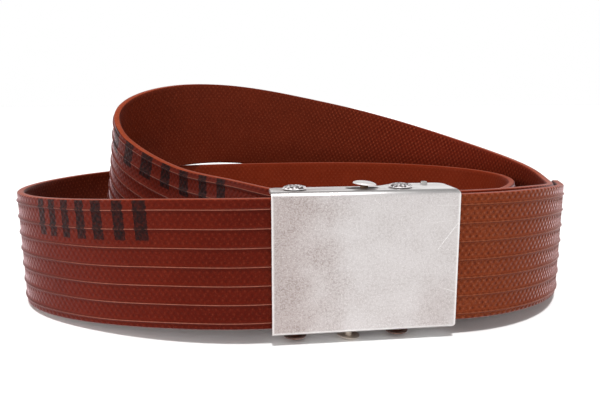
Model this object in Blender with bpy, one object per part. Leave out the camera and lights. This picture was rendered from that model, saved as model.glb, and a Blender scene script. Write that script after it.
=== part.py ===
"""Coiled strap belt with a plate friction buckle.

Metres, +Z up. The buckle's plate faces -Y, and the belt stands on its lower edges at z = 0.
The strap is one strip: cut tail, buckle, outer turn, inner turn, raised bend, fixed end.
"""

import math
from collections import namedtuple

import bmesh
import bpy
import numpy as np
from mathutils import Vector

MM = 0.001

# Strap
STRAP_WIDTH = 40.0 * MM
STRAP_THICKNESS = 2.4 * MM
RIB_PITCH = 5.8 * MM
RIB_HEIGHT = 0.45 * MM
RIB_BASE = 1.1 * MM
RIB_MARGIN_AT_TAIL = 3.4 * MM
RIB_MARGIN_AT_FIXED_END = 1.1 * MM
TAIL_LENGTH = 80.0 * MM
FIXED_END_LENGTH = 22.0 * MM

# Coil, measured on the middle of the strap
COIL_WIDTH = 206.0 * MM
COIL_DEPTH = 154.0 * MM

# Clearances
SEAT_GAP = 0.3 * MM
STRAP_SIDE_GAP = 0.8 * MM
PASS_GAP = 1.0 * MM

# Buckle case
CASE_LENGTH = 57.2 * MM
SHEET = 1.2 * MM
BEND_RADIUS = 1.9 * MM
PLATE_CORNER = 1.6 * MM
FLANGE_CORNER = 2.0 * MM
EAR_CORNER = 5.0 * MM
EAR_RAMP = 8.0 * MM
FLANGE_EDGE = 2.6 * MM
EAR_EDGE = 1.2 * MM

# Pins
PIN_RADIUS = 1.2 * MM
HEAD_RADIUS = 3.6 * MM
HEAD_HEIGHT = 0.9 * MM
RIVET_PLAY = 1.6 * MM
LEFT_RIVET_INSET = 7.5 * MM
RIGHT_RIVET_INSET = 17.2 * MM
ROLLER_TOP_SHIFT = 0.2 * MM
ROLLER_BOTTOM_SHIFT = -4.2 * MM
ROLLER_PLAY_BELOW = 2.5 * MM
ROLLER_PLAY_ABOVE = 1.4 * MM
SLOT_SHIFT = -0.5 * MM
SLOT_TRAVEL = 7.0 * MM

# Clamp jaw
JAW_INSET = 7.8 * MM
JAW_WIDTH = 4.0 * MM
JAW_THICKNESS = 2.0 * MM
TANG_RADIUS = 0.95 * MM
TANG_PROUD = 0.8 * MM

# Route spline and mesh fineness
KNOT_POWER = 0.75
STEPS_PER_STATION = 4
TAIL_STEPS = 12
LEAST_STEP = 0.3
LENGTH_SAMPLES = 40
ARC_STEPS = 5
DOME_STEPS = 5
TURNED_SIDES = 20
SHARP_DEGREES = 35

# Depths behind the plate's front face, one layer after the other
layer = RIB_HEIGHT + STRAP_THICKNESS
free_lane = SHEET + SEAT_GAP + RIB_HEIGHT + STRAP_THICKNESS / 2
pin_lane = SHEET + SEAT_GAP + layer + SEAT_GAP + PIN_RADIUS
fixed_lane = pin_lane + PIN_RADIUS + SEAT_GAP + RIB_HEIGHT + STRAP_THICKNESS / 2
jaw_lane = fixed_lane + STRAP_THICKNESS / 2 + SEAT_GAP + JAW_THICKNESS / 2
flange_depth = pin_lane + PIN_RADIUS + FLANGE_EDGE
ear_depth = jaw_lane + TANG_RADIUS + SEAT_GAP + EAR_EDGE
pass_lane = ear_depth + PASS_GAP + RIB_HEIGHT + STRAP_THICKNESS / 2

# Heights
case_height = STRAP_WIDTH + 2 * (STRAP_SIDE_GAP + SHEET)
case_lift = HEAD_HEIGHT + ROLLER_PLAY_BELOW
strap_lift = case_lift + SHEET + STRAP_SIDE_GAP
crossing_lift = STRAP_WIDTH + SEAT_GAP

# Places along the case, from its middle
case_end = CASE_LENGTH / 2
left_rivet_x = LEFT_RIVET_INSET - case_end
right_rivet_x = case_end - RIGHT_RIVET_INSET
jaw_x = case_end - JAW_INSET
slot_half = SLOT_TRAVEL / 2

# The strap's route, in the order it is travelled. across: share of COIL_WIDTH from the case's
# middle. back: share of COIL_DEPTH behind the lane of its table. lift: share of crossing_lift
# under the strap's lower edge. lean: degrees that the upper edge leans into the coil.
Station = namedtuple("Station", "across back lift lean")

OUTER_TURN = [
    Station(-0.280, 0.035, 0.12, 0),
    Station(-0.450, 0.160, 0.06, 0),
    Station(-0.545, 0.305, 0.03, -1),
    Station(-0.535, 0.620, 0.0, 0),
    Station(-0.330, 0.865, 0.0, 0),
    Station(-0.145, 0.910, 0.0, 0),
    Station(0.060, 0.910, 0.0, 0),
    Station(0.270, 0.815, 0.0, 0),
    Station(0.390, 0.605, 0.0, 0),
    Station(0.380, 0.405, 0.0, 0),
    Station(0.285, 0.240, 0.0, 0),
]

INNER_TURN = [
    Station(0.100, 0.010, 0.045, 0),
    Station(-0.080, 0.030, 0.085, 0),
    Station(-0.195, 0.175, 0.135, 2),
    Station(-0.300, 0.335, 0.22, -7),
    Station(-0.405, 0.450, 0.495, -4),
    Station(-0.430, 0.530, 0.68, 7),
    Station(-0.415, 0.615, 0.835, 14),
    Station(-0.290, 0.770, 1.005, 5),
    Station(-0.130, 0.870, 0.97, 0),
    Station(-0.015, 0.885, 0.865, 0),
    Station(0.160, 0.840, 0.66, 0),
    Station(0.370, 0.650, 0.31, 0),
    Station(0.440, 0.385, 0.11, 1),
    Station(0.425, 0.250, 0.045, 0),
    Station(0.310, 0.025, 0.115, 0),
]

Finish = namedtuple("Finish", "colour metallic roughness")

RUBBER = Finish((0.30, 0.045, 0.022), 0.0, 0.5)
SATIN_METAL = Finish((0.70, 0.67, 0.64), 1.0, 0.4)
PIN_METAL = Finish((0.62, 0.60, 0.58), 1.0, 0.3)
JAW_METAL = Finish((0.42, 0.41, 0.40), 1.0, 0.5)


def clear_scene():
    for item in list(bpy.data.objects):
        bpy.data.objects.remove(item, do_unlink=True)


def make_material(name, finish):
    material = bpy.data.materials.new(name)
    material.use_nodes = True
    shader = material.node_tree.nodes["Principled BSDF"]
    shader.inputs["Base Color"].default_value = (*finish.colour, 1.0)
    shader.inputs["Metallic"].default_value = finish.metallic
    shader.inputs["Roughness"].default_value = finish.roughness
    return material


def add_empty(name, parent=None, location=(0, 0, 0)):
    empty = bpy.data.objects.new(name, None)
    empty.parent = parent
    empty.location = location
    bpy.context.scene.collection.objects.link(empty)
    return empty


def add_part(name, mesh, parent, location=(0, 0, 0)):
    part = bpy.data.objects.new(name, mesh)
    part.parent = parent
    part.location = location
    bpy.context.scene.collection.objects.link(part)
    return part


def finish_part(part, finish):
    part.data.materials.append(make_material(part.name + "_material", finish))
    part.data.shade_smooth()
    part.data.set_sharp_from_angle(angle=math.radians(SHARP_DEGREES))


def smooth_step(share):
    return share * share * (3 - 2 * share)


def loft(name, rings):
    """Closed mesh through rings of equal point count, with a face on each end."""
    shape = bmesh.new()
    rows = [[shape.verts.new(point) for point in ring] for ring in rings]
    count = len(rows[0])
    for near, far in zip(rows, rows[1:]):
        for i in range(count):
            j = (i + 1) % count
            shape.faces.new((near[i], near[j], far[j], far[i]))
    shape.faces.new(rows[0])
    shape.faces.new(rows[-1])
    bmesh.ops.recalc_face_normals(shape, faces=shape.faces)
    mesh = bpy.data.meshes.new(name)
    shape.to_mesh(mesh)
    shape.free()
    return mesh


def turned(name, profile):
    """Closed mesh turned about Z from (radius, height) points that start and end on the axis."""
    shape = bmesh.new()
    bottom = shape.verts.new((0, 0, profile[0][1]))
    top = shape.verts.new((0, 0, profile[-1][1]))
    angles = [2 * math.pi * i / TURNED_SIDES for i in range(TURNED_SIDES)]
    rings = []
    for radius, height in profile[1:-1]:
        rings.append([shape.verts.new((radius * math.cos(a), radius * math.sin(a), height)) for a in angles])
    for i in range(TURNED_SIDES):
        j = (i + 1) % TURNED_SIDES
        shape.faces.new((bottom, rings[0][i], rings[0][j]))
        for near, far in zip(rings, rings[1:]):
            shape.faces.new((near[i], near[j], far[j], far[i]))
        shape.faces.new((top, rings[-1][i], rings[-1][j]))
    bmesh.ops.recalc_face_normals(shape, faces=shape.faces)
    mesh = bpy.data.meshes.new(name)
    shape.to_mesh(mesh)
    shape.free()
    return mesh


def arc(centre, radius, start, stop):
    """Points on a circle about a 2-D centre, from start to stop in degrees."""
    turns = [math.radians(start + (stop - start) * i / ARC_STEPS) for i in range(ARC_STEPS + 1)]
    return [(centre[0] + radius * math.cos(a), centre[1] + radius * math.sin(a)) for a in turns]


def knot_times(points):
    """Spline times of the stations, from the lengths of the straight runs between them."""
    runs = np.linalg.norm(np.diff(points[:, :2], axis=0), axis=1)
    return np.concatenate([[0.0], np.cumsum(runs ** KNOT_POWER)])


def clamped_spline(times, points, way):
    """Function that gives the place and the slope of a cubic spline that starts and ends along way."""
    spans = np.diff(times)[:, None]
    chords = np.diff(points, axis=0) / spans
    system = np.zeros((len(points), len(points)))
    wanted = np.zeros_like(points)
    system[0, 0] = 1.0
    system[-1, -1] = 1.0
    wanted[0] = way * np.linalg.norm(chords[0][:2])
    wanted[-1] = way * np.linalg.norm(chords[-1][:2])
    for i in range(1, len(points) - 1):
        before = spans[i - 1, 0]
        after = spans[i, 0]
        system[i, i - 1:i + 2] = (after, 2 * (before + after), before)
        wanted[i] = 3 * (after * chords[i - 1] + before * chords[i])
    slopes = np.linalg.solve(system, wanted)

    def at(time):
        i = int(np.clip(np.searchsorted(times, time, side="right") - 1, 0, len(spans) - 1))
        span = spans[i, 0]
        u = (time - times[i]) / span
        start, end = points[i], points[i + 1]
        leave, arrive = slopes[i] * span, slopes[i + 1] * span
        bend_a = 3 * (end - start) - 2 * leave - arrive
        bend_b = 2 * (start - end) + leave + arrive
        place = start + leave * u + bend_a * u ** 2 + bend_b * u ** 3
        slope = (leave + 2 * bend_a * u + 3 * bend_b * u ** 2) / span
        return place, slope

    return at


def route_points():
    """Stations in metres: x, y, lift and lean in radians, from the case's left end to its right."""
    rows = [(-case_end, free_lane, strap_lift, 0.0)]
    for lane, turn in ((free_lane, OUTER_TURN), (pass_lane, INNER_TURN)):
        for station in turn:
            rows.append((
                station.across * COIL_WIDTH,
                lane + station.back * COIL_DEPTH,
                station.lift * crossing_lift,
                math.radians(station.lean),
            ))
    rows.append((case_end, fixed_lane, strap_lift, 0.0))
    return np.array(rows)


def section_frame(place, slope):
    """Middle of the strap, the way across its width and the way out of its ribbed face."""
    travel = Vector(slope[:3]).normalized()
    outward = Vector((-travel.y, travel.x, 0.0)).normalized()
    upright = math.cos(place[3]) * Vector((0, 0, 1)) - math.sin(place[3]) * outward
    across = (upright - upright.dot(travel) * travel).normalized()
    facing = across.cross(travel)
    if facing.dot(outward) < 0:
        facing = -facing
    middle = Vector((place[0], place[1], max(place[2], 0.0) + STRAP_WIDTH / 2))
    return middle, across, facing


def strap_frames():
    """Frames of the strap's sections, from the tail's end to the fixed end."""
    points = route_points()
    times = knot_times(points)
    at = clamped_spline(times, points, np.array([-1.0, 0.0, 0.0, 0.0]))

    fine = np.linspace(times[0], times[-1], LENGTH_SAMPLES * len(times))
    places = np.array([at(time)[0][:3] for time in fine])
    lengths = np.concatenate([[0.0], np.cumsum(np.linalg.norm(np.diff(places, axis=0), axis=1))])
    tail_start = np.interp(lengths[-1] - TAIL_LENGTH, lengths, fine)
    tail_times = np.linspace(tail_start, times[-1], TAIL_STEPS + 1)

    loop_times = []
    for near, far in zip(times, times[1:]):
        loop_times += list(np.linspace(near, far, STEPS_PER_STATION, endpoint=False))
    loop_end = tail_start - LEAST_STEP * (tail_times[1] - tail_times[0])
    loop_times = [time for time in loop_times if time < loop_end]

    contact = layer + SEAT_GAP
    at_case = fixed_lane - free_lane
    tail = []
    for i, time in enumerate(tail_times):
        middle, across, facing = section_frame(*at(time))
        spread = contact + (at_case - contact) * smooth_step(i / TAIL_STEPS)
        tail.append((middle + facing * spread, across, facing))

    loop = [section_frame(*at(time)) for time in loop_times]
    overlap = [section_frame(*at(time)) for time in tail_times]
    middle, across, facing = overlap[-1]
    fixed_end = (middle - Vector((FIXED_END_LENGTH, 0, 0)), across, facing)
    return tail + loop + overlap + [fixed_end]


def strap_section(share):
    """Section points (across, outward) with ribs, at a share of the way from tail to fixed end."""
    half_width = STRAP_WIDTH / 2
    half_thickness = STRAP_THICKNESS / 2
    margin = RIB_MARGIN_AT_TAIL + (RIB_MARGIN_AT_FIXED_END - RIB_MARGIN_AT_TAIL) * share
    room = STRAP_WIDTH - RIB_MARGIN_AT_TAIL - RIB_BASE
    rib_count = 1 + int(room / RIB_PITCH)
    points = [(half_width, -half_thickness), (half_width, half_thickness)]
    for rib in range(rib_count):
        crest = half_width - margin - rib * RIB_PITCH
        points.append((crest + RIB_BASE / 2, half_thickness))
        points.append((crest, half_thickness + RIB_HEIGHT))
        points.append((crest - RIB_BASE / 2, half_thickness))
    points += [(-half_width, half_thickness), (-half_width, -half_thickness)]
    return points


def build_strap(parent):
    frames = strap_frames()
    rings = []
    for i, (middle, across, facing) in enumerate(frames):
        section = strap_section(i / (len(frames) - 1))
        rings.append([middle + across * w + facing * out for w, out in section])
    strap = add_part("strap", loft("strap", rings), parent)
    finish_part(strap, RUBBER)
    return strap


def prism(name, outline, start, stop, place):
    """Prism of a 2-D outline; place turns (u, v, along) into a point."""
    return loft(name, [[place(u, v, along) for u, v in outline] for along in (start, stop)])


def add_cutter(case, name, mesh, parent, location=(0, 0, 0)):
    cutter = add_part(name, mesh, parent, location)
    cutter.hide_render = True
    cutter.display_type = "WIRE"
    cut = case.modifiers.new(name, "BOOLEAN")
    cut.operation = "DIFFERENCE"
    cut.solver = "EXACT"
    cut.object = cutter


def along_x(u, v, along):
    return (along, u, v)


def along_y(u, v, along):
    return (u, along, v)


def along_z(u, v, along):
    return (u, v, along)


def sheet_section():
    """The bent sheet seen from its end, as (depth, height) points."""
    outer = BEND_RADIUS
    inner = BEND_RADIUS - SHEET
    low = (outer, outer)
    high = (outer, case_height - outer)
    section = [(ear_depth, 0.0)]
    section += arc(low, outer, 270, 180)
    section += arc(high, outer, 180, 90)
    section += [(ear_depth, case_height), (ear_depth, case_height - SHEET)]
    section += arc(high, inner, 90, 180)
    section += arc(low, inner, 180, 270)
    section += [(ear_depth, SHEET)]
    return section


def behind_flanges():
    """What is cut away behind the flanges' back edge, as (x, depth) points."""
    ramp_start = slot_half + SLOT_SHIFT + PIN_RADIUS + SEAT_GAP
    edge = arc((FLANGE_CORNER - case_end, flange_depth - FLANGE_CORNER), FLANGE_CORNER, 180, 90)
    for i in range(ARC_STEPS + 1):
        share = i / ARC_STEPS
        depth = flange_depth + smooth_step(share) * (ear_depth - flange_depth)
        edge.append((ramp_start + share * EAR_RAMP, depth))
    edge += arc((case_end - EAR_CORNER, ear_depth - EAR_CORNER), EAR_CORNER, 90, 0)
    past = case_end + SHEET
    beyond = ear_depth + SHEET
    edge += [(past, ear_depth - EAR_CORNER), (past, beyond)]
    edge += [(-past, beyond), (-past, flange_depth - FLANGE_CORNER)]
    return edge


def beyond_corner(upper):
    """What is cut away outside one right-hand corner of the plate, as (x, height) points."""
    centre_x = case_end - PLATE_CORNER
    past = case_end + SHEET
    if upper:
        edge = arc((centre_x, case_height - PLATE_CORNER), PLATE_CORNER, 90, 0)
        edge += [(past, edge[-1][1]), (past, case_height + SHEET), (centre_x, case_height + SHEET)]
        return edge
    edge = arc((centre_x, PLATE_CORNER), PLATE_CORNER, 270, 360)
    edge += [(past, edge[-1][1]), (past, -SHEET), (centre_x, -SHEET)]
    return edge


def slot_outline():
    radius = PIN_RADIUS + SEAT_GAP
    right = arc((SLOT_SHIFT + slot_half, pin_lane), radius, -90, 90)
    left = arc((SLOT_SHIFT - slot_half, pin_lane), radius, 90, 270)
    return right + left


def round_outline(x, depth, radius):
    turns = [2 * math.pi * i / TURNED_SIDES for i in range(TURNED_SIDES)]
    return [(x + radius * math.cos(a), depth + radius * math.sin(a)) for a in turns]


def build_case(parent):
    mesh = prism("buckle_case", sheet_section(), -case_end, case_end, along_x)
    case = add_part("buckle_case", mesh, parent)
    through = (-SHEET, case_height + SHEET)
    hole = PIN_RADIUS + SEAT_GAP
    outlines = [
        ("cut_behind_flanges", behind_flanges()),
        ("cut_left_rivet_hole", round_outline(left_rivet_x, pin_lane, hole)),
        ("cut_right_rivet_hole", round_outline(right_rivet_x, pin_lane, hole)),
        ("cut_jaw_holes", round_outline(jaw_x, jaw_lane, TANG_RADIUS + SEAT_GAP)),
        ("cut_roller_slot", slot_outline()),
    ]
    for name, outline in outlines:
        add_cutter(case, name, prism(name, outline, *through, along_z), parent)
    for name, upper in (("cut_upper_corner", True), ("cut_lower_corner", False)):
        corner = prism(name, beyond_corner(upper), -SHEET, ear_depth + SHEET, along_y)
        add_cutter(case, name, corner, parent)
    finish_part(case, SATIN_METAL)
    return case


def headed_pin(between):
    """Profile of a pin with two domed heads whose flat sides are that far apart, from z = 0 up."""
    round_radius = (HEAD_RADIUS ** 2 + HEAD_HEIGHT ** 2) / (2 * HEAD_HEIGHT)
    widest = math.asin(HEAD_RADIUS / round_radius)
    dome = []
    for i in range(DOME_STEPS + 1):
        angle = widest * i / DOME_STEPS
        dome.append((round_radius * math.sin(angle), HEAD_HEIGHT - round_radius * (1 - math.cos(angle))))
    lower = [(radius, -height) for radius, height in dome]
    upper = [(radius, between + height) for radius, height in reversed(dome)]
    return lower + [(PIN_RADIUS, 0.0), (PIN_RADIUS, between)] + upper


def build_rivet(name, x, parent):
    between = case_height + SEAT_GAP + RIVET_PLAY
    rivet = add_part(name, turned(name, headed_pin(between)), parent, (x, pin_lane, -RIVET_PLAY))
    finish_part(rivet, PIN_METAL)
    return rivet


def build_roller(parent):
    """Loose bar that stands slanted in its slots on its lower head, which rests on the ground."""
    between = case_height + ROLLER_PLAY_BELOW + ROLLER_PLAY_ABOVE
    slant = math.asin((ROLLER_TOP_SHIFT - ROLLER_BOTTOM_SHIFT) / between)
    dome_centre = (HEAD_RADIUS ** 2 - HEAD_HEIGHT ** 2) / (2 * HEAD_HEIGHT)
    drop = ROLLER_PLAY_BELOW - dome_centre * (1 - math.cos(slant))
    location = (ROLLER_BOTTOM_SHIFT, pin_lane, -drop)
    roller = add_part("roller_bar", turned("roller_bar", headed_pin(between)), parent, location)
    roller.rotation_euler = (0, slant, 0)
    finish_part(roller, PIN_METAL)
    return roller


def build_jaw(parent):
    """Hidden bar that holds the strap's fixed end, with a round tang through each flange."""
    bar_low = SHEET + SEAT_GAP
    bar_high = case_height - SHEET - SEAT_GAP
    tang = round_outline(0.0, 0.0, TANG_RADIUS)
    bar = []
    for x, y in tang:
        reach = max(abs(x) / (JAW_WIDTH / 2), abs(y) / (JAW_THICKNESS / 2))
        bar.append((x / reach, y / reach))
    levels = [
        (-TANG_PROUD, tang),
        (bar_low, tang),
        (bar_low, bar),
        (bar_high, bar),
        (bar_high, tang),
        (case_height + TANG_PROUD, tang),
    ]
    rings = [[(x, y, z) for x, y in outline] for z, outline in levels]
    jaw = add_part("clamp_jaw", loft("clamp_jaw", rings), parent, (jaw_x, jaw_lane, 0))
    finish_part(jaw, JAW_METAL)
    return jaw


def place_on_origin(root, parts):
    """Move the root so that the middle of the belt's box stands over the origin, at z = 0."""
    bpy.context.view_layer.update()
    graph = bpy.context.evaluated_depsgraph_get()
    corners = []
    for part in parts:
        evaluated = part.evaluated_get(graph)
        corners += [evaluated.matrix_world @ vertex.co for vertex in evaluated.data.vertices]
    low = Vector([min(corner[axis] for corner in corners) for axis in range(3)])
    high = Vector([max(corner[axis] for corner in corners) for axis in range(3)])
    root.location = (-(low.x + high.x) / 2, -(low.y + high.y) / 2, -low.z)
    bpy.context.view_layer.update()


def main():
    clear_scene()
    root = add_empty("belt")
    buckle = add_empty("buckle", root, (0, 0, case_lift))
    parts = [
        build_strap(root),
        build_case(buckle),
        build_rivet("rivet_left", left_rivet_x, buckle),
        build_rivet("rivet_right", right_rivet_x, buckle),
        build_roller(buckle),
        build_jaw(buckle),
    ]
    place_on_origin(root, parts)


main()
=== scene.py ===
"""Coiled strap belt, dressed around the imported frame.

The fine strap, the softened plate and the hammered pins stand where their CAD nodes are.
Metres, +Z up, in the frame's own axes.
"""

import math
from collections import namedtuple

import bmesh
import bpy
import numpy as np
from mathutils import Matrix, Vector, noise


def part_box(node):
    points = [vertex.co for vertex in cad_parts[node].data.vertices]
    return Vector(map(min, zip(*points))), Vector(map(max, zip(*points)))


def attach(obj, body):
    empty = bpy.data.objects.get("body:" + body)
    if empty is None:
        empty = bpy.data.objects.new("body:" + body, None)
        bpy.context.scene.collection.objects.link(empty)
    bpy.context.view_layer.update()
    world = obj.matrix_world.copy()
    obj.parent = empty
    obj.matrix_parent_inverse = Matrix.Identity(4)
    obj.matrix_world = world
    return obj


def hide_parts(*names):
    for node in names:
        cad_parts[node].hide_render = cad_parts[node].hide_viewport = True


MM = 0.001

# Strap, with the sizes of its CAD solid
STRAP_WIDTH = 40.0 * MM
STRAP_THICKNESS = 2.4 * MM
RIB_COUNT = 7
RIB_PITCH = 5.8 * MM
RIB_HEIGHT = 0.45 * MM
RIB_BASE = 1.1 * MM
RIB_SHOULDER = RIB_BASE / 5
RIB_SHOULDER_HEIGHT = 0.7 * RIB_HEIGHT
RIB_MARGIN_AT_TAIL = 3.4 * MM
RIB_MARGIN_AT_FIXED_END = 1.1 * MM
TAIL_LENGTH = 80.0 * MM
FIXED_END_LENGTH = 22.0 * MM

# Coil and buckle, as in the CAD
COIL_WIDTH = 206.0 * MM
COIL_DEPTH = 154.0 * MM
CROSSING_LIFT = 40.3 * MM
STRAP_LIFT = 5.4 * MM
FREE_LANE = 3.15 * MM
FIXED_LANE = 9.0 * MM
PASS_LANE = 16.6 * MM
TAIL_CONTACT = 3.15 * MM
HEAD_RADIUS = 3.6 * MM
HEAD_HEIGHT = 0.9 * MM
PIN_RADIUS = 1.2 * MM
SLOT_RADIUS = 1.5 * MM
SLOT_TRAVEL = 7.0 * MM
SLOT_SHIFT = -0.5 * MM

# Fine strap
WEAVE_ALONG = 1.1 * MM
WEAVE_ACROSS = RIB_PITCH / 4
WEAVE_DEPTH = 0.045 * MM
LINING_WEAVE_DEPTH = 0.02 * MM
FADED_WEAVE_DEPTH = 0.028 * MM
WEAVE_FADES = 110.0 * MM
EDGE_ROUND = 0.3 * MM
TIP_ROUND = 2.2 * MM
WANDER = 0.18 * MM
WANDER_LENGTHS = (83.0 * MM, 47.0 * MM)
KNOT_POWER = 0.75
FRAMES_PER_STATION = 120

# Hose: where its looks change, each a fade between two places along it from the tail's cut end
TURNS_RED = (85.0 * MM, 150.0 * MM)
DARKER_BY_BUCKLE = (215.0 * MM, 150.0 * MM)
LINING_LEAVES_BEND = (300.0 * MM, 400.0 * MM)
LINING_RISES = (600.0 * MM, 700.0 * MM)
LINING_COMES_DOWN = (890.0 * MM, 980.0 * MM)
# Where the lining's painted glints and painted hollow shade are stronger
STRONG_GLINTS_AND_SHADE_STARTS = (860.0 * MM, 950.0 * MM)
STRONG_GLINTS_AND_SHADE_ENDS = (1060.0 * MM, 1020.0 * MM)
FRONT_RUBBED = (238.0 * MM, 183.0 * MM)
RISE_RUBBED_STARTS = (600.0 * MM, 640.0 * MM)
RISE_RUBBED_ENDS = (810.0 * MM, 765.0 * MM)

# Hose: colours, each with its darker and its lighter patches
RED = ((0.070, 0.0046, 0.0012), (0.122, 0.0105, 0.0032))
RED_BY_BUCKLE = ((0.056, 0.0030, 0.0008), (0.098, 0.0080, 0.0024))
BROWN = ((0.118, 0.0175, 0.0045), (0.165, 0.0330, 0.0100))
# Lining: painted shade where it lies in the left bend, then stretches painted lighter and darker to
# stand in for the light along the coil
SHADED_LINING_IN_BEND = ((0.052, 0.0056, 0.0017), (0.084, 0.0092, 0.0027))
LINING_PAINTED_LIGHT_AND_SHADE = (
    (LINING_LEAVES_BEND, ((0.118, 0.0120, 0.0029), (0.175, 0.0195, 0.0049))),
    (LINING_RISES, ((0.072, 0.0080, 0.0022), (0.112, 0.0132, 0.0038))),
    (LINING_COMES_DOWN, ((0.092, 0.0078, 0.0022), (0.140, 0.0130, 0.0038))),
)
CUT_EDGE = ((0.175, 0.024, 0.008), (0.31, 0.062, 0.026))
# Painted shade for the weave's hollows and the ribs' feet
SHADE_IN_LINING_HOLLOWS = (0.030, 0.004, 0.002)
SHADE_IN_FACE_HOLLOWS = (0.045, 0.005, 0.002)
# Painted glints on the weave's high points, also used for worn flecks of the grain
GLINT_AND_WEAR_ON_LINING = (0.24, 0.050, 0.022)
GLINT_AND_WEAR_ON_BROWN = (0.30, 0.10, 0.050)
GLINT_AND_WEAR_ON_RED = (0.17, 0.026, 0.012)
PALE_RIB_ON_BROWN = (0.27, 0.085, 0.04)
PALE_RIB_ON_RED = (0.44, 0.17, 0.115)
INK = (0.007, 0.004, 0.004)

# Hose: sizes of its textures, and its sheen
HOSE_GRAIN = 0.5 * MM
HOSE_WEAR = 2.4 * MM
HOSE_GLOSS = 3.0 * MM
HOSE_PATCHES = 14.0 * MM
HOSE_BUMP = 0.12 * MM
EDGE_STARTS = 0.1 * MM
EDGE_FULL = 0.3 * MM
INK_WEAR = 0.9 * MM
INK_RAGGED_SIDE = 0.6 * MM
INK_RAGGED_END = 0.9 * MM
INK_FADE = 0.5 * MM
FACE_SHEEN = 0.47
LINING_SHEEN = 0.08
SHEEN_TINT = (1.0, 0.75, 0.79)
SHEEN_ROUGHNESS = 0.3
HOSE_SPECULAR = 0.04

# Fine buckle
EDGE_BEVEL = 0.18 * MM
SHARP_DEGREES = 35
RIVET_FULLNESS = 5.0
ROLLER_FULLNESS = 2.4
HEAD_STEPS = 12
PIN_SIDES = 48
DENT_SIZE = 0.75 * MM
DENT_DEPTH = 0.12 * MM
ROLLER_DENT_DEPTH = 0.2 * DENT_DEPTH
DENTED_SHARE = 0.98

# Steel: sizes of its textures, with lengths on the plate from its lower left corner
STEEL_GRAIN = 0.35 * MM
PLATE_SPECKS = 0.75 * MM
PLATE_CLOUDS = 11.0 * MM
PLATE_BUMP = 0.03 * MM
FRONT_FACE = (0.3 * MM, 0.1 * MM)
BEND_OFFSET = 0.6 * MM
AGED_SIDE = (27.0 * MM, 3.0 * MM)
AGED_RAGGED = 11.0 * MM
AGED_CORNER = (51.5 * MM, 8.0 * MM, 0.0)
CORNER_FADE = (11.0 * MM, 2.0 * MM)
CORNER_RAGGED = 5.0 * MM
EDGE_WEAR = (0.9 * MM, 0.2 * MM)
EDGE_WEAR_RAGGED = 0.3 * MM
# Painted shade, with some dirt, round the pins' heads and in the slots
SHADE_AND_DIRT_UNDER_HEAD = 0.6 * MM
SHADE_AND_DIRT_RAGGED = 0.6 * MM
SHADE_AND_DIRT_FADE = 0.7 * MM
SHADE_AND_DIRT_STRENGTH = 0.85
PIN_STAINS = 1.3 * MM
PIN_BUMP = 0.06 * MM
# Heights over which the pins take their near-floor tone
PIN_NEAR_FLOOR = (6.0 * MM, 2.0 * MM)
TURNED_LINES = 0.2 * MM
TURNED_STRETCH = (1.0, 1.0, 0.05)

# Steel: colours
SATIN = ((0.515, 0.482, 0.474), (0.61, 0.577, 0.572))
AGED = (0.425, 0.36, 0.345)
SPECK = (0.29, 0.24, 0.225)
BRIGHT_GRAIN = (0.90, 0.88, 0.87)
WORN_EDGE = (0.92, 0.90, 0.89)
SCRATCH = (0.95, 0.95, 0.94)
# Painted shade, with some dirt, round the pins
SHADE_AND_DIRT = (0.05, 0.035, 0.03)
TURNED_STEEL = ((0.30, 0.29, 0.28), (0.52, 0.51, 0.50))

PinColours = namedtuple("PinColours", "bright pitted low_down")

# Pin colours: bright; dark in dents and stains and as painted shade under the heads; near the floor,
# darker red-brown on the rivets and a painted light cream on the roller's lower head
RIVET_COLOURS = PinColours((0.84, 0.80, 0.80), (0.12, 0.10, 0.10), (0.22, 0.09, 0.055))
ROLLER_COLOURS = PinColours((0.78, 0.75, 0.74), (0.12, 0.075, 0.05), (0.74, 0.66, 0.58))

# Camera, light and floor
CAMERA_PLACE = (-30.1 * MM, -244.0 * MM, 74.5 * MM)
CAMERA_PITCH = 9.9
CAMERA_YAW = 7.7
CAMERA_LENS = 35.43
SENSOR_WIDTH = 36.0
CAMERA_CLIP = 10.0 * MM
SKY_LIGHT = 0.25
HORIZON_LIGHT = 1.15
HORIZON_RISE = (0.4, 0.7)
KEY_STRENGTH = 2.8
KEY_SOFTNESS = 7.0
KEY_FROM = (-0.05, -0.38, 1.0)
SIDE_STRENGTH = 1.15
SIDE_SOFTNESS = 40.0
SIDE_FROM = (-1.0, 0.05, 0.22)
FLOOR_SIZE = 8.0
FLOOR_CLOUDS = 60.0 * MM
FLOOR_WHITES = ((0.92, 0.92, 0.92), (0.94, 0.94, 0.94))
BLACK = (0.0, 0.0, 0.0, 1.0)
WHITE = (1.0, 1.0, 1.0, 1.0)

Station = namedtuple("Station", "across back lift lean")

OUTER_TURN = [
    Station(-0.280, 0.035, 0.12, 0),
    Station(-0.450, 0.160, 0.06, 0),
    Station(-0.545, 0.305, 0.03, -1),
    Station(-0.535, 0.620, 0.0, 0),
    Station(-0.330, 0.865, 0.0, 0),
    Station(-0.145, 0.910, 0.0, 0),
    Station(0.060, 0.910, 0.0, 0),
    Station(0.270, 0.815, 0.0, 0),
    Station(0.390, 0.605, 0.0, 0),
    Station(0.380, 0.405, 0.0, 0),
    Station(0.285, 0.240, 0.0, 0),
]

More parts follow.
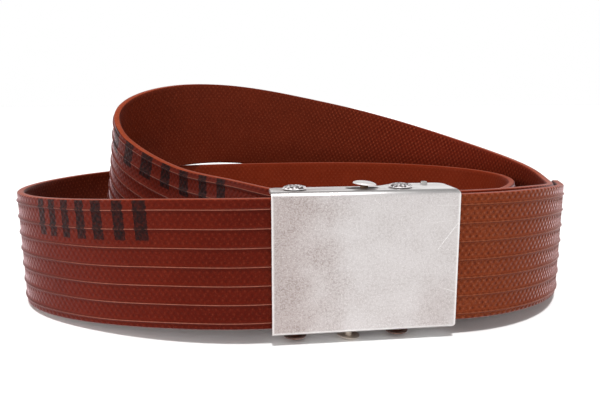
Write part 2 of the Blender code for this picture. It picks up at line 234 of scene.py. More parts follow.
INNER_TURN = [
    Station(0.100, 0.010, 0.045, 0),
    Station(-0.080, 0.030, 0.085, 0),
    Station(-0.195, 0.175, 0.135, 2),
    Station(-0.300, 0.335, 0.22, -7),
    Station(-0.405, 0.450, 0.495, -4),
    Station(-0.430, 0.530, 0.68, 7),
    Station(-0.415, 0.615, 0.835, 14),
    Station(-0.290, 0.770, 1.005, 5),
    Station(-0.130, 0.870, 0.97, 0),
    Station(-0.015, 0.885, 0.865, 0),
    Station(0.160, 0.840, 0.66, 0),
    Station(0.370, 0.650, 0.31, 0),
    Station(0.440, 0.385, 0.11, 1),
    Station(0.425, 0.250, 0.045, 0),
    Station(0.310, 0.025, 0.115, 0),
]

# Worn ink bars on the ribbed face: where a stretch starts and ends along the strap, how far down
# it reaches from the first rib, and the bars in it as shares of its length
InkStretch = namedtuple("InkStretch", "start end depth bars")

FRONT_INK = InkStretch(176.0 * MM, 226.0 * MM, 9.6 * MM, [
    (0.06, 0.15), (0.22, 0.30), (0.38, 0.46), (0.52, 0.59), (0.66, 0.72), (0.78, 0.84), (0.89, 0.95),
])
RISING_INK = InkStretch(697.0 * MM, 777.0 * MM, 8.6 * MM, [
    (0.04, 0.10), (0.17, 0.23), (0.31, 0.38), (0.46, 0.53), (0.60, 0.68), (0.75, 0.81), (0.88, 0.95),
])

# Scratches on the plate, from its lower left corner: ends, half width and how much they show
Scratch = namedtuple("Scratch", "start end half_width strength")

SCRATCHES = [
    Scratch((56.6, 33.6), (50.4, 25.4), 0.13, 0.85),
    Scratch((51.6, 13.6), (56.8, 11.8), 0.11, 0.6),
    Scratch((49.6, 39.2), (56.6, 39.0), 0.10, 0.4),
    Scratch((47.5, 33.9), (56.2, 34.5), 0.08, 0.35),
    Scratch((30.6, 41.2), (32.2, 39.9), 0.12, 0.5),
    Scratch((39.0, 29.2), (41.4, 29.6), 0.09, 0.4),
    Scratch((12.2, 12.4), (13.4, 10.2), 0.10, 0.4),
    Scratch((22.0, 31.0), (27.5, 30.2), 0.06, 0.3),
]


def smooth_step(share):
    return share * share * (3 - 2 * share)


# Strap route, as in the CAD

def knot_times(points):
    runs = np.linalg.norm(np.diff(points[:, :2], axis=0), axis=1)
    return np.concatenate([[0.0], np.cumsum(runs ** KNOT_POWER)])


def clamped_spline(times, points, way):
    """Function that gives the place and the slope of a cubic spline that starts and ends along way."""
    spans = np.diff(times)[:, None]
    chords = np.diff(points, axis=0) / spans
    system = np.zeros((len(points), len(points)))
    wanted = np.zeros_like(points)
    system[0, 0] = 1.0
    system[-1, -1] = 1.0
    wanted[0] = way * np.linalg.norm(chords[0][:2])
    wanted[-1] = way * np.linalg.norm(chords[-1][:2])
    for i in range(1, len(points) - 1):
        before = spans[i - 1, 0]
        after = spans[i, 0]
        system[i, i - 1:i + 2] = (after, 2 * (before + after), before)
        wanted[i] = 3 * (after * chords[i - 1] + before * chords[i])
    slopes = np.linalg.solve(system, wanted)

    def at(time):
        i = int(np.clip(np.searchsorted(times, time, side="right") - 1, 0, len(spans) - 1))
        span = spans[i, 0]
        u = (time - times[i]) / span
        start, end = points[i], points[i + 1]
        leave, arrive = slopes[i] * span, slopes[i + 1] * span
        bend_a = 3 * (end - start) - 2 * leave - arrive
        bend_b = 2 * (start - end) + leave + arrive
        place = start + leave * u + bend_a * u ** 2 + bend_b * u ** 3
        slope = (leave + 2 * bend_a * u + 3 * bend_b * u ** 2) / span
        return place, slope

    return at


def route_points(case_end):
    """Stations in metres: x, y, lift and lean in radians, from the case's left end to its right."""
    rows = [(-case_end, FREE_LANE, STRAP_LIFT, 0.0)]
    for lane, turn in ((FREE_LANE, OUTER_TURN), (PASS_LANE, INNER_TURN)):
        for station in turn:
            rows.append((
                station.across * COIL_WIDTH,
                lane + station.back * COIL_DEPTH,
                station.lift * CROSSING_LIFT,
                math.radians(station.lean),
            ))
    rows.append((case_end, FIXED_LANE, STRAP_LIFT, 0.0))
    return np.array(rows)


def section_frame(place, slope):
    """Middle of the strap, the way across its width and the way out of its ribbed face."""
    travel = Vector(slope[:3]).normalized()
    outward = Vector((-travel.y, travel.x, 0.0)).normalized()
    upright = math.cos(place[3]) * Vector((0, 0, 1)) - math.sin(place[3]) * outward
    across = (upright - upright.dot(travel) * travel).normalized()
    facing = across.cross(travel)
    if facing.dot(outward) < 0:
        facing = -facing
    middle = Vector((place[0], place[1], max(place[2], 0.0) + STRAP_WIDTH / 2))
    return np.array([middle, across, facing])


def run_lengths(middles):
    return np.concatenate([[0.0], np.cumsum(np.linalg.norm(np.diff(middles, axis=0), axis=1))])


def strap_route(case_end):
    """Close frames along the strap, from the tail's end to the fixed end."""
    points = route_points(case_end)
    times = knot_times(points)
    at = clamped_spline(times, points, np.array([-1.0, 0.0, 0.0, 0.0]))
    fine = np.linspace(times[0], times[-1], FRAMES_PER_STATION * len(times))
    loop = np.array([section_frame(*at(time)) for time in fine])
    lengths = run_lengths(loop[:, 0])
    tail_start = np.interp(lengths[-1] - TAIL_LENGTH, lengths, fine)
    tail = loop[fine >= tail_start].copy()
    shares = (fine[fine >= tail_start] - tail_start) / (times[-1] - tail_start)
    spread = TAIL_CONTACT + (FIXED_LANE - FREE_LANE - TAIL_CONTACT) * smooth_step(shares)
    tail[:, 0] += tail[:, 2] * spread[:, None]
    fixed_end = loop[-1:].copy()
    fixed_end[0, 0, 0] -= FIXED_END_LENGTH
    return np.concatenate([tail, loop, fixed_end])


def evenly_spaced(frames, spacing):
    """The same route with frames at even lengths, and those lengths."""
    lengths = run_lengths(frames[:, 0])
    marks = np.append(np.arange(0.0, lengths[-1] - spacing / 2, spacing), lengths[-1])
    flat = frames.reshape(len(frames), 9)
    even = np.stack([np.interp(marks, lengths, flat[:, i]) for i in range(9)], axis=1)
    even = even.reshape(len(marks), 3, 3)
    even[:, 1:] /= np.linalg.norm(even[:, 1:], axis=2, keepdims=True)
    return even, marks


# Fine strap

def strap_section(margin):
    """Rows of one section: across, outward, distance below the first rib, and weave row or 0."""
    half_width = STRAP_WIDTH / 2
    half_thickness = STRAP_THICKNESS / 2
    first_rib = half_width - margin
    last_rib = first_rib - (RIB_COUNT - 1) * RIB_PITCH
    rows = []

    def outer(across, height, weave=0):
        rows.append((across, half_thickness + height, first_rib - across, weave))

    outer(half_width, -EDGE_ROUND)
    outer(half_width - EDGE_ROUND, 0.0)
    for share in (1 / 3, 2 / 3):
        outer(half_width - EDGE_ROUND - share * (margin - RIB_BASE / 2 - EDGE_ROUND), 0.0)
    for rib in range(RIB_COUNT):
        crest = first_rib - rib * RIB_PITCH
        outer(crest + RIB_BASE / 2, 0.0)
        outer(crest + RIB_SHOULDER, RIB_SHOULDER_HEIGHT)
        outer(crest, RIB_HEIGHT)
        outer(crest - RIB_SHOULDER, RIB_SHOULDER_HEIGHT)
        outer(crest - RIB_BASE / 2, 0.0)
        if rib < RIB_COUNT - 1:
            for row in (1, 2, 3):
                outer(crest - row * WEAVE_ACROSS, 0.0, 1 - 2 * (row % 2))
    below = last_rib - RIB_BASE / 2
    for share in (1 / 3, 2 / 3):
        outer(below - share * (below + half_width - EDGE_ROUND), 0.0)
    outer(EDGE_ROUND - half_width, 0.0)
    outer(-half_width, -EDGE_ROUND)

    def inner(across, height, weave=0):
        rows.append((across, height - half_thickness, half_width - across, weave))

    inner(-half_width, EDGE_ROUND)
    inner(EDGE_ROUND - half_width, 0.0)
    for row in range(int(STRAP_WIDTH / WEAVE_ACROSS), 0, -1):
        inner(half_width - row * WEAVE_ACROSS, 0.0, 2 * (row % 2) - 1)
    inner(half_width - EDGE_ROUND, 0.0)
    inner(half_width, EDGE_ROUND)
    return np.array(rows)


def rib_margin(mark, length):
    """Room above the first rib, which changes slowly along the hose and wanders a little."""
    margin = RIB_MARGIN_AT_TAIL + (RIB_MARGIN_AT_FIXED_END - RIB_MARGIN_AT_TAIL) * mark / length
    for wave in WANDER_LENGTHS:
        margin += WANDER / 2 * math.sin(2 * math.pi * mark / wave)
    return margin


def tucked(across, from_tip):
    """Places across the strap drawn in at the tail's rounded corners, ribs left as they are."""
    if from_tip >= TIP_ROUND:
        return across
    away = TIP_ROUND - from_tip
    limit = STRAP_WIDTH / 2 - TIP_ROUND + math.sqrt(TIP_ROUND ** 2 - away ** 2)
    kept = STRAP_WIDTH / 2 - TIP_ROUND
    size = np.abs(across)
    drawn = kept + (size - kept) * (limit - kept) / (STRAP_WIDTH / 2 - kept)
    return np.where(size > kept, np.sign(across) * drawn, across)


def build_strap(case_low, case_end):
    frames, marks = evenly_spaced(strap_route(case_end), WEAVE_ALONG)
    frames[:, 0] += np.array([case_low.x + case_end, case_low.y, 0.0])
    points = []
    places = []
    for i, (mark, (middle, across, facing)) in enumerate(zip(marks, frames)):
        section = strap_section(rib_margin(mark, marks[-1]))
        side = np.sign(section[:, 1])
        face_depth = WEAVE_DEPTH if mark < WEAVE_FADES else FADED_WEAVE_DEPTH
        depth = np.where(side > 0, face_depth, LINING_WEAVE_DEPTH)
        relief = (1 - 2 * (i % 2)) * section[:, 3] * depth
        width = tucked(section[:, 0], mark)
        out = section[:, 1] + side * relief
        points.append(middle + np.outer(width, across) + np.outer(out, facing))
        places.append(np.stack([np.full(len(section), mark), section[:, 2], section[:, 1]], axis=1))
    count = len(points[0])
    faces = []
    linings = []
    for i in range(len(points) - 1):
        row = i * count
        for j in range(count):
            k = (j + 1) % count
            faces.append((row + j, row + k, row + count + k, row + count + j))
            linings.append(int(section[j, 1] < 0 or section[k, 1] < 0))
    last = (len(points) - 1) * count
    faces.append(tuple(range(count - 1, -1, -1)))
    faces.append(tuple(range(last, last + count)))
    mesh = bpy.data.meshes.new("strap_fine")
    mesh.from_pydata(np.concatenate(points).tolist(), [], faces)
    mesh.polygons.foreach_set("material_index", linings + [0, 0])
    attribute = mesh.attributes.new("place", "FLOAT_VECTOR", "POINT")
    attribute.data.foreach_set("vector", np.concatenate(places).ravel())
    turn_outward(mesh)
    mesh.shade_smooth()
    strap = add_object("strap_fine", mesh)
    strap.data.materials.append(rubber("hose_face", FACE_SHEEN))
    strap.data.materials.append(rubber("hose_lining", LINING_SHEEN))
    return strap


# Buckle pieces

def add_object(name, mesh):
    piece = bpy.data.objects.new(name, mesh)
    bpy.context.scene.collection.objects.link(piece)
    return piece


def turn_outward(mesh):
    shape = bmesh.new()
    shape.from_mesh(mesh)
    bmesh.ops.recalc_face_normals(shape, faces=shape.faces)
    shape.to_mesh(mesh)
    shape.free()


def build_case(node):
    """The plate with its flanges, from its CAD solid, with small rounds on its cut edges."""
    shape = bmesh.new()
    shape.from_mesh(node.data)
    bmesh.ops.remove_doubles(shape, verts=shape.verts, dist=0.001 * MM)
    bmesh.ops.dissolve_limit(shape, angle_limit=math.radians(1), verts=shape.verts, edges=shape.edges)
    sharp = [edge for edge in shape.edges if edge.calc_face_angle(0) > math.radians(SHARP_DEGREES)]
    bmesh.ops.bevel(shape, geom=sharp, offset=EDGE_BEVEL, segments=2, profile=0.5, affect="EDGES")
    mesh = bpy.data.meshes.new("case_fine")
    shape.to_mesh(mesh)
    shape.free()
    mesh.shade_smooth()
    mesh.set_sharp_from_angle(angle=math.radians(SHARP_DEGREES))
    case = add_object("case_fine", mesh)
    case.data.materials.append(satin_plate(*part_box("buckle_case")))
    return case


def pin_axis(node):
    """Middle, direction and half length of a pin's solid."""
    places = np.array([vertex.co for vertex in node.data.vertices])
    middle = (places.min(0) + places.max(0)) / 2
    upper = places[places[:, 2] > middle[2]].mean(0)
    lower = places[places[:, 2] < middle[2]].mean(0)
    axis = Vector(upper - lower).normalized()
    half_length = ((places - middle) @ np.array(axis)).max()
    return Vector(middle), axis, half_length


def pin_profile(half_length, fullness):
    """(radius, height) points of a pin with two full-shouldered heads, from one tip to the other."""
    shoulder = half_length - HEAD_HEIGHT
    dome = []
    for i in range(1, HEAD_STEPS + 1):
        share = math.sin(math.pi / 2 * i / HEAD_STEPS)
        height = HEAD_HEIGHT * math.sqrt(max(0.0, 1 - share ** fullness))
        dome.append((HEAD_RADIUS * share, shoulder + height))
    lower = [(radius, -height) for radius, height in dome]
    return lower + [(PIN_RADIUS, -shoulder), (PIN_RADIUS, shoulder)] + dome[::-1]


def build_pin(name, node, fullness, dent_depth, material):
    middle, axis, half_length = pin_axis(node)
    turn = Vector((0, 0, 1)).rotation_difference(axis)
    shape = bmesh.new()
    rings = []
    tips = [shape.verts.new((0, 0, -half_length)), shape.verts.new((0, 0, half_length))]
    for radius, height in pin_profile(half_length, fullness):
        ring = []
        for i in range(PIN_SIDES):
            angle = 2 * math.pi * i / PIN_SIDES
            ring.append(shape.verts.new((radius * math.cos(angle), radius * math.sin(angle), height)))
        rings.append(ring)
    for i in range(PIN_SIDES):
        j = (i + 1) % PIN_SIDES
        shape.faces.new((tips[0], rings[0][j], rings[0][i]))
        shape.faces.new((tips[1], rings[-1][i], rings[-1][j]))
        for near, far in zip(rings, rings[1:]):
            shape.faces.new((near[i], near[j], far[j], far[i]))
    bmesh.ops.recalc_face_normals(shape, faces=shape.faces)
    shape.normal_update()
    dents = []
    for vertex in shape.verts:
        on_head = abs(vertex.co.z) > half_length - DENTED_SHARE * HEAD_HEIGHT
        distances, _ = noise.voronoi(vertex.co / DENT_SIZE + middle / MM)
        dent = min(1.0, distances[0]) if on_head else 0.0
        # Shafts get a full mark, which paints shade on them and under the heads
        on_shaft = vertex.co.xy.length < 1.1 * PIN_RADIUS and not on_head
        dents.append((vertex, 1.0 if on_shaft else dent * dent_depth / DENT_DEPTH))
        vertex.co -= vertex.normal * dent * dent_depth
        vertex.co = turn @ vertex.co + middle
    mesh = bpy.data.meshes.new(name)
    shape.to_mesh(mesh)
    shape.free()
    attribute = mesh.attributes.new("dent", "FLOAT", "POINT")
    attribute.data.foreach_set("value", [dent for _, dent in dents])
    mesh.shade_smooth()
    mesh.set_sharp_from_angle(angle=math.radians(SHARP_DEGREES))
    pin = add_object(name, mesh)
    pin.data.materials.append(material)
    return pin


# Materials

class Nodes:
    """Short ways to add shader nodes to one material."""

    def __init__(self, name):
        self.material = bpy.data.materials.new(name)
        self.material.use_nodes = True
        self.tree = self.material.node_tree
        self.shader = self.tree.nodes["Principled BSDF"]

    def feed(self, socket, value):
        if isinstance(value, bpy.types.NodeSocket):
            self.tree.links.new(value, socket)
        elif socket.type == "RGBA":
            socket.default_value = (*value, 1.0)
        else:
            socket.default_value = value

    def add(self, kind, inputs, **settings):
        node = self.tree.nodes.new(kind)
        for name, value in settings.items():
            setattr(node, name, value)
        for name, value in inputs.items():
            self.feed(node.inputs[name], value)
        return node

    def set(self, **sockets):
        for name, value in sockets.items():
            self.feed(self.shader.inputs[name.replace("_", " ")], value)

    def attribute(self, name, output):
        return self.add("ShaderNodeAttribute", {}, attribute_name=name).outputs[output]

    def object_place(self):
        return self.add("ShaderNodeTexCoord", {}).outputs["Object"]

    def split(self, vector):
        return self.add("ShaderNodeSeparateXYZ", {"Vector": vector}).outputs

    def join(self, x, y, z):
        return self.add("ShaderNodeCombineXYZ", {"X": x, "Y": y, "Z": z}).outputs[0]

    def math(self, operation, first, second=0.0):
        return self.add("ShaderNodeMath", {0: first, 1: second}, operation=operation).outputs[0]

    def product(self, first, *others):
        for other in others:
            first = self.math("MULTIPLY", first, other)
        return first

    def vector(self, operation, first, second=(0.0, 0.0, 0.0), output="Vector"):
        inputs = {0: first, 1: second}
        return self.add("ShaderNodeVectorMath", inputs, operation=operation).outputs[output]

    def step(self, value, low, high):
        """0 up to low, 1 from high on, smooth between."""
        inputs = {"Value": value, "From Min": low, "From Max": high}
        return self.add("ShaderNodeMapRange", inputs, interpolation_type="SMOOTHSTEP").outputs[0]

    def scaled(self, value, low, high):
        """A value of 0 to 1 spread from low to high."""
        inputs = {"Value": value, "To Min": low, "To Max": high}
        return self.add("ShaderNodeMapRange", inputs).outputs[0]

    def mix(self, factor, first, second):
        node = self.add("ShaderNodeMix", {}, data_type="RGBA")
        self.feed(node.inputs[0], factor)
        self.feed(node.inputs[6], first)
        self.feed(node.inputs[7], second)
        return node.outputs[2]

    def noise(self, vector, size, detail, roughness=0.5):
        inputs = {"Vector": vector, "Scale": 1 / size, "Detail": detail, "Roughness": roughness}
        return self.add("ShaderNodeTexNoise", inputs).outputs["Fac"]

    def bump(self, height, distance):
        inputs = {"Height": height, "Distance": distance, "Strength": 1.0}
        return self.add("ShaderNodeBump", inputs).outputs[0]


def ink_mask(nodes, along, below, worn, stretch):
    """Bars of one ink stretch, from the strap's edge down to a worn end."""
    length = stretch.end - stretch.start
    shifted = nodes.math("ADD", along, nodes.scaled(worn, -INK_RAGGED_SIDE, INK_RAGGED_SIDE))
    share = nodes.math("DIVIDE", nodes.math("SUBTRACT", shifted, stretch.start), length)
    ramp = nodes.add("ShaderNodeValToRGB", {"Fac": share})
    stops = ramp.color_ramp
    stops.interpolation = "CONSTANT"
    stops.elements[0].color = BLACK
    stops.elements[1].position = stretch.bars[0][0]
    stops.elements[1].color = WHITE
    for i, (start, end) in enumerate(stretch.bars):
        if i > 0:
            stops.elements.new(start).color = WHITE
        stops.elements.new(end).color = BLACK
    lower = nodes.math("ADD", below, nodes.scaled(worn, -INK_RAGGED_END, INK_RAGGED_END))
    reach = nodes.step(lower, stretch.depth, stretch.depth - INK_FADE)
    return nodes.product(ramp.outputs[0], reach)


def hose_weave(nodes, along, below):
    """1 on the high points of the weave, -1 at its low points."""
    across_wave = nodes.math("COSINE", nodes.product(below, math.pi / WEAVE_ACROSS))
    along_wave = nodes.math("COSINE", nodes.product(along, math.pi / WEAVE_ALONG))
    return nodes.product(across_wave, along_wave)


def hose_colours(nodes, along, outer, to_red, patches):
    """Colour of the hose on both its sides, with its lining partly painted light and shade, and the
    colours of the painted shade in its dimples and of its painted glints and worn flecks.
    """
    red = nodes.mix(patches, *RED)
    red = nodes.mix(nodes.step(along, *DARKER_BY_BUCKLE), red, nodes.mix(patches, *RED_BY_BUCKLE))
    face = nodes.mix(to_red, nodes.mix(patches, *BROWN), red)
    # Lining: painted shade in the left bend, then painted light and shade along the coil
    lining = nodes.mix(patches, *SHADED_LINING_IN_BEND)
    for fade, colours in LINING_PAINTED_LIGHT_AND_SHADE:
        lining = nodes.mix(nodes.step(along, *fade), lining, nodes.mix(patches, *colours))
    hollow_shade = nodes.mix(outer, SHADE_IN_LINING_HOLLOWS, SHADE_IN_FACE_HOLLOWS)
    glint_and_wear = nodes.mix(outer, GLINT_AND_WEAR_ON_LINING, nodes.mix(to_red, GLINT_AND_WEAR_ON_BROWN, GLINT_AND_WEAR_ON_RED))
    return nodes.mix(outer, lining, face), hollow_shade, glint_and_wear


def rubber(name, sheen):
    """Ribbed rubber-coated hose: woven dimples with painted shade in them and painted glints on their
    high points, pale worn ribs with painted shade at their feet, a lining partly painted light and
    shade, cut edges and worn ink bars.
    """
    nodes = Nodes(name)
    place = nodes.attribute("place", "Vector")
    along, below, out = nodes.split(place)
    outer = nodes.math("GREATER_THAN", out, 0.0)
    inner = nodes.math("SUBTRACT", 1.0, outer)
    to_red = nodes.step(along, *TURNS_RED)
    weave = hose_weave(nodes, along, below)
    grain = nodes.noise(place, HOSE_GRAIN, 3.0, 0.6)
    wear = nodes.noise(place, HOSE_WEAR, 4.0, 0.65)
    patches = nodes.noise(place, HOSE_PATCHES, 4.0, 0.6)
    body, hollow_shade, glint_and_wear = hose_colours(nodes, along, outer, to_red, patches)

    # Painted shade in the weave's hollows and painted glints on its high points
    woven = nodes.scaled(nodes.step(wear, 0.3, 0.65), 0.12, 0.42)
    # Stretch of lining with stronger painted glints and painted hollow shade
    strong_glints_and_shade = nodes.product(nodes.step(along, *STRONG_GLINTS_AND_SHADE_STARTS), nodes.step(along, *STRONG_GLINTS_AND_SHADE_ENDS), inner)
    by_side = nodes.math("MAXIMUM", nodes.scaled(outer, 0.3, 1.0), nodes.product(strong_glints_and_shade, 1.6))
    more_shade_in_brown = nodes.scaled(to_red, 1.5, 1.1)
    hollow_shade_mask = nodes.product(nodes.step(weave, -0.05, -0.9), woven, by_side, more_shade_in_brown)
    # Painted glints on the weave's high points
    glints = nodes.product(nodes.step(weave, 0.45, 0.98), nodes.math("SUBTRACT", woven, 0.04))
    glints = nodes.product(glints, nodes.scaled(strong_glints_and_shade, 1.0, 2.4))
    body = nodes.mix(hollow_shade_mask, body, hollow_shade)
    body = nodes.mix(glints, body, glint_and_wear)
    body = nodes.mix(nodes.scaled(nodes.step(grain, 0.5, 0.75), 0.0, 0.35), body, glint_and_wear)

    # Ribs, pale on their crests where they are worn, with painted shade at their feet elsewhere
    half = STRAP_THICKNESS / 2
    crest = nodes.step(out, half + 0.78 * RIB_HEIGHT, half + RIB_HEIGHT)
    foot = nodes.step(out, half + 0.02 * RIB_HEIGHT, half + 0.3 * RIB_HEIGHT)
    rise = nodes.product(nodes.step(along, *RISE_RUBBED_STARTS), nodes.step(along, *RISE_RUBBED_ENDS))
    worn_ribs = nodes.math("MAXIMUM", nodes.step(along, *FRONT_RUBBED), nodes.product(rise, 0.8))
    # Painted shade at the ribs' feet, weaker where the ribs are worn pale
    body = nodes.mix(nodes.product(foot, nodes.scaled(worn_ribs, 0.6, 0.25)), body, hollow_shade)
    pale = nodes.product(crest, nodes.scaled(wear, 0.3, 1.1), nodes.scaled(worn_ribs, 0.1, 1.0))
    body = nodes.mix(pale, body, nodes.mix(to_red, PALE_RIB_ON_BROWN, PALE_RIB_ON_RED))

    # Ink, thinner in the hollows, and the cut edges
    ink_wear = nodes.noise(place, INK_WEAR, 3.0, 0.7)
    bars = [ink_mask(nodes, along, below, ink_wear, stretch) for stretch in (FRONT_INK, RISING_INK)]
    on_threads = nodes.scaled(nodes.step(weave, -1.0, 0.3), 0.8, 0.97)
    unworn = nodes.scaled(nodes.step(ink_wear, 0.25, 0.6), 0.55, 1.0)
    body = nodes.mix(nodes.product(nodes.math("MAXIMUM", *bars), on_threads, unworn, outer), body, INK)
    edge = nodes.step(nodes.math("ABSOLUTE", out), half - EDGE_STARTS, half - EDGE_FULL)
    body = nodes.mix(edge, body, nodes.mix(wear, *CUT_EDGE))

    off_ribs = nodes.math("SUBTRACT", 1.0, foot)
    relief = nodes.product(weave, off_ribs, nodes.scaled(outer, 0.35, 1.0))
    relief = nodes.product(relief, nodes.scaled(to_red, 1.0, 0.35))
    relief = nodes.math("ADD", relief, nodes.scaled(grain, -0.35, 0.35))
    gloss = nodes.scaled(nodes.noise(place, HOSE_GLOSS, 3.0), 0.36, 0.52)
    nodes.set(Base_Color=body, Roughness=gloss, Normal=nodes.bump(relief, HOSE_BUMP))
    nodes.set(Specular_IOR_Level=HOSE_SPECULAR, Sheen_Weight=sheen)
    nodes.set(Sheen_Roughness=SHEEN_ROUGHNESS, Sheen_Tint=SHEEN_TINT)
    return nodes.material


def scratch_mask(nodes, flat, scratch):
    """1 on a straight scratch in the plate's plane, 0 away from it."""
    start = Vector((*scratch.start, 0)) * MM
    run = Vector((*scratch.end, 0)) * MM - start
    away = nodes.vector("SUBTRACT", flat, start)
    dot = nodes.vector("DOT_PRODUCT", away, run, output="Value")
    share = nodes.math("DIVIDE", dot, run.length_squared)
    share = nodes.add("ShaderNodeClamp", {"Value": share}).outputs[0]
    on_line = nodes.add("ShaderNodeVectorMath", {0: run, "Scale": share}, operation="SCALE").outputs[0]
    gap = nodes.vector("DISTANCE", away, on_line, output="Value")
    line = nodes.step(gap, scratch.half_width * MM, 0.3 * scratch.half_width * MM)
    return nodes.product(line, scratch.strength)


def pin_shade_and_dirt(nodes, place, speck, slot_x):
    """Painted shade, with some dirt, on the flanges round the rivets' heads and along the roller's
    slots.
    """
    left, right = [sum(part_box(name), Vector()) / 2 for name in ("rivet_left", "rivet_right")]
    under_head = HEAD_RADIUS - SHADE_AND_DIRT_UNDER_HEAD
    shaded_and_dirty = (
        (left.x, 0.0, under_head),
        (right.x, 0.0, under_head),
        (slot_x, SLOT_TRAVEL, SLOT_RADIUS),
    )
    shade_and_dirt = 0.0
    for middle_x, length, reach in shaded_and_dirty:
        x, y, _ = nodes.split(nodes.vector("SUBTRACT", place, (middle_x, left.y, 0.0)))
        past_end = nodes.math("SUBTRACT", nodes.math("ABSOLUTE", x), length / 2)
        past_end = nodes.math("MAXIMUM", past_end, 0.0)
        gap = nodes.vector("LENGTH", nodes.join(past_end, y, 0.0), output="Value")
        gap = nodes.math("ADD", gap, nodes.scaled(speck, -SHADE_AND_DIRT_RAGGED, SHADE_AND_DIRT_RAGGED))
        shade_and_dirt = nodes.math("MAXIMUM", nodes.step(gap, reach + SHADE_AND_DIRT_FADE, reach), shade_and_dirt)
    return nodes.product(shade_and_dirt, SHADE_AND_DIRT_STRENGTH)


def satin_plate(low, high):
    """Aged satin steel: fine specks, browner on the left, bright worn edges, scratches, and painted
    shade with some dirt round the pins.
    """
    nodes = Nodes("satin_plate")
    place = nodes.object_place()
    x, y, z = nodes.split(place)
    from_left = nodes.math("SUBTRACT", x, low.x)
    from_right = nodes.math("SUBTRACT", high.x - low.x, from_left)
    from_below = nodes.math("SUBTRACT", z, low.z)
    from_top = nodes.math("SUBTRACT", high.z - low.z, from_below)
    on_front = nodes.step(nodes.math("SUBTRACT", y, low.y), *FRONT_FACE)
    flat = nodes.join(from_left, from_below, 0.0)
    grain = nodes.noise(place, STEEL_GRAIN, 2.0, 0.6)
    cloud = nodes.noise(place, PLATE_CLOUDS, 3.0, 0.55)
    speck = nodes.noise(place, PLATE_SPECKS, 3.0, 0.85)

    # Browner and more speckled on the left, and a little in the lower right corner
    reach = nodes.math("ADD", from_left, nodes.scaled(cloud, -AGED_RAGGED, AGED_RAGGED))
    aged = nodes.step(reach, *AGED_SIDE)
    to_corner = nodes.vector("DISTANCE", flat, AGED_CORNER, output="Value")
    to_corner = nodes.math("ADD", to_corner, nodes.scaled(cloud, -CORNER_RAGGED, CORNER_RAGGED))
    aged = nodes.math("MAXIMUM", aged, nodes.product(nodes.step(to_corner, *CORNER_FADE), 0.3))
    patchy = nodes.scaled(nodes.step(cloud, 0.4, 0.6), 1.0, 0.6)
    spots = nodes.product(nodes.step(speck, 0.42, 0.64), nodes.scaled(aged, 0.3, 0.9), patchy)
    tone = nodes.mix(nodes.scaled(aged, 0.0, 0.85), nodes.mix(cloud, *SATIN), AGED)
    tone = nodes.mix(spots, tone, SPECK)
    tone = nodes.mix(nodes.scaled(nodes.step(grain, 0.5, 0.75), 0.0, 0.45), tone, BRIGHT_GRAIN)

    # Worn edges, scratches, and painted shade with some dirt round the pins
    to_side = nodes.math("MINIMUM", from_left, from_right)
    to_flange = nodes.math("SUBTRACT", nodes.math("MINIMUM", from_top, from_below), BEND_OFFSET)
    to_edge = nodes.math("MINIMUM", to_side, to_flange)
    ragged = nodes.scaled(grain, -EDGE_WEAR_RAGGED, EDGE_WEAR_RAGGED)
    worn = nodes.step(nodes.math("ADD", to_edge, ragged), *EDGE_WEAR)
    tone = nodes.mix(nodes.scaled(worn, 0.0, 0.6), tone, WORN_EDGE)
    marks = 0.0
    for scratch in SCRATCHES:
        marks = nodes.math("MAXIMUM", scratch_mask(nodes, flat, scratch), marks)
    marks = nodes.product(marks, on_front, nodes.step(speck, 0.4, 0.56))
    tone = nodes.mix(marks, tone, SCRATCH)
    # Painted shade, with some dirt, round the heads and in the slots
    shade_and_dirt = pin_shade_and_dirt(nodes, place, speck, (low.x + high.x) / 2 + SLOT_SHIFT)
    tone = nodes.mix(shade_and_dirt, tone, SHADE_AND_DIRT)

    gloss = nodes.math("SUBTRACT", nodes.scaled(speck, 0.34, 0.52), nodes.scaled(worn, 0.0, 0.1))
    relief = nodes.math("SUBTRACT", grain, nodes.product(marks, 0.8))
    nodes.set(Base_Color=tone, Roughness=gloss, Normal=nodes.bump(relief, PLATE_BUMP))
    nodes.set(Metallic=nodes.math("SUBTRACT", 1.0, shade_and_dirt))
    return nodes.material


def hammered_steel(name, colours):
    """Cast or hammered steel heads, dark in their dents, with painted shade under the heads and a tone
    near the floor that is a painted light cream on the roller.
    """
    nodes = Nodes(name)
    place = nodes.object_place()
    dent = nodes.attribute("dent", "Fac")
    grain = nodes.noise(place, STEEL_GRAIN, 4.0, 0.7)
    rough = nodes.noise(place, PIN_STAINS, 4.0, 0.7)
    height = nodes.split(place)[2]
    # Dark in the dents, and painted shade on the shafts and under the heads
    tone = nodes.mix(nodes.step(dent, 0.40, 0.60), colours.bright, colours.pitted)
    tone = nodes.mix(nodes.scaled(nodes.step(rough, 0.55, 0.75), 0.0, 0.6), tone, colours.pitted)
    # Near the floor: darker red-brown on the rivets, a painted light cream on the roller's lower head
    low_down = nodes.scaled(nodes.step(height, *PIN_NEAR_FLOOR), 0.0, 0.8)
    tone = nodes.mix(low_down, tone, colours.low_down)
    nodes.set(Base_Color=tone, Roughness=nodes.scaled(grain, 0.5, 0.7))
    nodes.set(Metallic=1.0, Normal=nodes.bump(grain, PIN_BUMP))
    return nodes.material


def plain_steel():
    """Hidden steel with a turned grain."""
    nodes = Nodes("jaw_steel")
    place = nodes.object_place()
    stretched = nodes.add("ShaderNodeMapping", {"Vector": place, "Scale": TURNED_STRETCH}).outputs[0]
    lines = nodes.noise(stretched, TURNED_LINES, 3.0, 0.6)
    nodes.set(Base_Color=nodes.mix(lines, *TURNED_STEEL), Roughness=nodes.scaled(lines, 0.35, 0.55))
    nodes.set(Metallic=1.0)
    return nodes.material


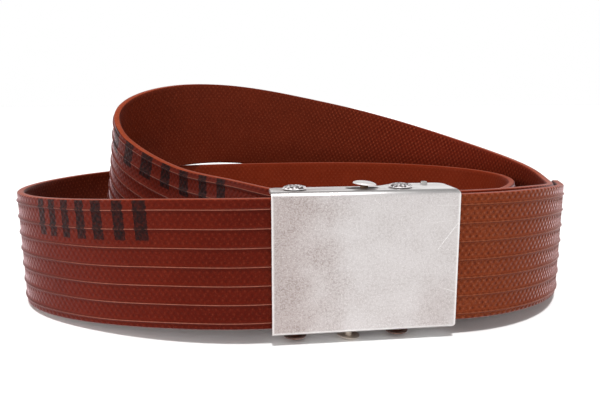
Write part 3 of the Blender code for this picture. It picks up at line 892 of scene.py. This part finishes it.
def white_floor():
    nodes = Nodes("white_floor")
    soft = nodes.noise(nodes.object_place(), FLOOR_CLOUDS, 2.0)
    nodes.set(Base_Color=nodes.mix(soft, *FLOOR_WHITES), Roughness=0.7, Specular_IOR_Level=0.2)
    return nodes.material


# Camera, light and floor

def add_camera():
    data = bpy.data.cameras.new("camera")
    data.sensor_width = SENSOR_WIDTH
    data.lens = CAMERA_LENS
    data.clip_start = CAMERA_CLIP
    camera = add_object("camera", data)
    camera.location = CAMERA_PLACE
    camera.rotation_euler = (math.radians(90 - CAMERA_PITCH), 0, math.radians(-CAMERA_YAW))
    bpy.context.scene.camera = camera


def add_sun(name, strength, softness, source):
    data = bpy.data.lights.new(name, "SUN")
    data.energy = strength
    data.angle = math.radians(softness)
    sun = add_object(name, data)
    sun.rotation_euler = Vector(source).to_track_quat("Z", "Y").to_euler()


def add_light():
    """High soft key, a low light from the left, and a studio brightest round the horizon."""
    add_sun("key", KEY_STRENGTH, KEY_SOFTNESS, KEY_FROM)
    add_sun("side", SIDE_STRENGTH, SIDE_SOFTNESS, SIDE_FROM)

    world = bpy.data.worlds.new("studio")
    world.use_nodes = True
    bpy.context.scene.world = world
    tree = world.node_tree
    background = tree.nodes["Background"]
    background.inputs["Color"].default_value = WHITE
    direction = tree.nodes.new("ShaderNodeTexCoord")
    split = tree.nodes.new("ShaderNodeSeparateXYZ")
    studio = tree.nodes.new("ShaderNodeMapRange")
    studio.interpolation_type = "SMOOTHSTEP"
    studio.inputs["From Min"].default_value = HORIZON_RISE[0]
    studio.inputs["From Max"].default_value = HORIZON_RISE[1]
    studio.inputs["To Min"].default_value = HORIZON_LIGHT
    studio.inputs["To Max"].default_value = SKY_LIGHT
    path = tree.nodes.new("ShaderNodeLightPath")
    level = tree.nodes.new("ShaderNodeMapRange")
    level.inputs["To Max"].default_value = 1.0
    tree.links.new(direction.outputs["Generated"], split.inputs["Vector"])
    tree.links.new(split.outputs["Z"], studio.inputs["Value"])
    tree.links.new(studio.outputs[0], level.inputs["To Min"])
    tree.links.new(path.outputs["Is Camera Ray"], level.inputs["Value"])
    tree.links.new(level.outputs[0], background.inputs["Strength"])


def add_floor():
    half = FLOOR_SIZE / 2
    corners = [(-half, -half, 0), (half, -half, 0), (half, half, 0), (-half, half, 0)]
    mesh = bpy.data.meshes.new("floor")
    mesh.from_pydata(corners, [], [(0, 1, 2, 3)])
    floor = add_object("floor", mesh)
    floor.data.materials.append(white_floor())


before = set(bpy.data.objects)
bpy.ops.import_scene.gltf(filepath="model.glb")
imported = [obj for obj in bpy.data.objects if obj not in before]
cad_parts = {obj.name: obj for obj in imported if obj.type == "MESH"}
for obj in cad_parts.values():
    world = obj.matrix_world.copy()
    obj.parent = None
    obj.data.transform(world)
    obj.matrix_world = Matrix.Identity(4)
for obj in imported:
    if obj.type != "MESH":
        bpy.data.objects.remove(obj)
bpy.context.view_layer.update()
case_low, case_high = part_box("buckle_case")
half_case = (case_high.x - case_low.x) / 2

strap = build_strap(case_low, half_case)
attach(strap, "root")
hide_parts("strap")

case = build_case(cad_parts["buckle_case"])
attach(case, "root")
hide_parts("buckle_case")

rivet_steel = hammered_steel("rivet_steel", RIVET_COLOURS)
roller_steel = hammered_steel("roller_steel", ROLLER_COLOURS)
for node_name, fullness, dent_depth, steel in (
    ("rivet_left", RIVET_FULLNESS, DENT_DEPTH, rivet_steel),
    ("rivet_right", RIVET_FULLNESS, DENT_DEPTH, rivet_steel),
    ("roller_bar", ROLLER_FULLNESS, ROLLER_DENT_DEPTH, roller_steel),
):
    pin = build_pin(node_name + "_fine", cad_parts[node_name], fullness, dent_depth, steel)
    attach(pin, "root")
    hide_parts(node_name)

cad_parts["clamp_jaw"].data.materials.clear()
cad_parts["clamp_jaw"].data.materials.append(plain_steel())

add_camera()
add_light()
add_floor()
bpy.context.scene.view_settings.view_transform = "Standard"
